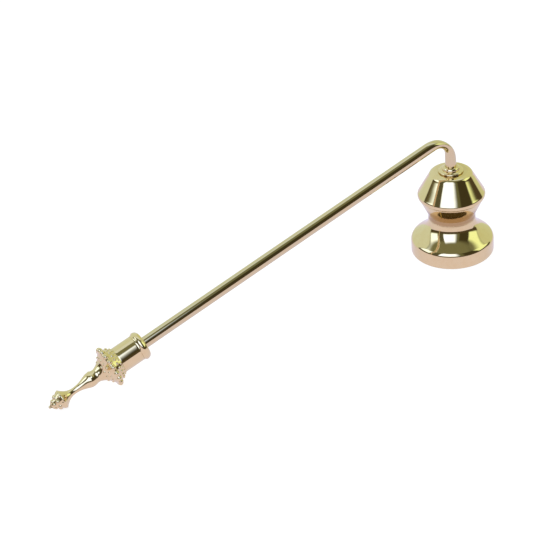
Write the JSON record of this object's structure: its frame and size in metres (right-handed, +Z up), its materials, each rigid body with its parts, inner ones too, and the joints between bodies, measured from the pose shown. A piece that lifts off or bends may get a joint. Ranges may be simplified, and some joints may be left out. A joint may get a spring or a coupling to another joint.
{
  "type": "candle snuffer",
  "caption": "Candle snuffer: a waisted brass bell that swivels on the bent end of a slim rod, with a beaded, finial-tipped handle.",
  "frame": {"origin": "centre of the bell's open mouth, which is also the level of the surface that the snuffer stands on", "axes": "+Z up the bell's axis, -X along the rod towards the handle, +Y across"},
  "size_m": [0.206, 0.0348, 0.0541],
  "materials": {
    "polished_brass": "mirror-polished pale brass, clear lacquer, fine wiping scratches",
    "cast_brass": "cast and polished brass, softer than the turned pieces, darker in its recesses",
    "plain_brass": "turned brass, unpolished",
    "steel": "bright zinc-plated steel"
  },
  "bodies": {
    "handle": {"rod": "polished_brass", "collar_washer": "polished_brass", "collar_boss": "polished_brass", "clamp_washer": "steel", "spring_washer": "steel", "clamp_nut": "steel", "ferrule_cap": "polished_brass", "ferrule": "polished_brass", "ferrule_bush": "plain_brass", "lock_washer": "steel", "lock_nut": "steel", "crown": "cast_brass", "finial": "cast_brass"},
    "bell": {"bell_cup": "polished_brass", "joining_ring": "plain_brass", "neck_cone": "polished_brass", "shoulder_cone": "polished_brass", "swivel_tube": "plain_brass"}
  },
  "joints": [
    {"name": "bell_swivel", "type": "hinge", "parent": "handle", "child": "bell", "pos_m": [0, 0, 0.026], "axis": [0, 0, 1], "continuous": true}
  ]
}
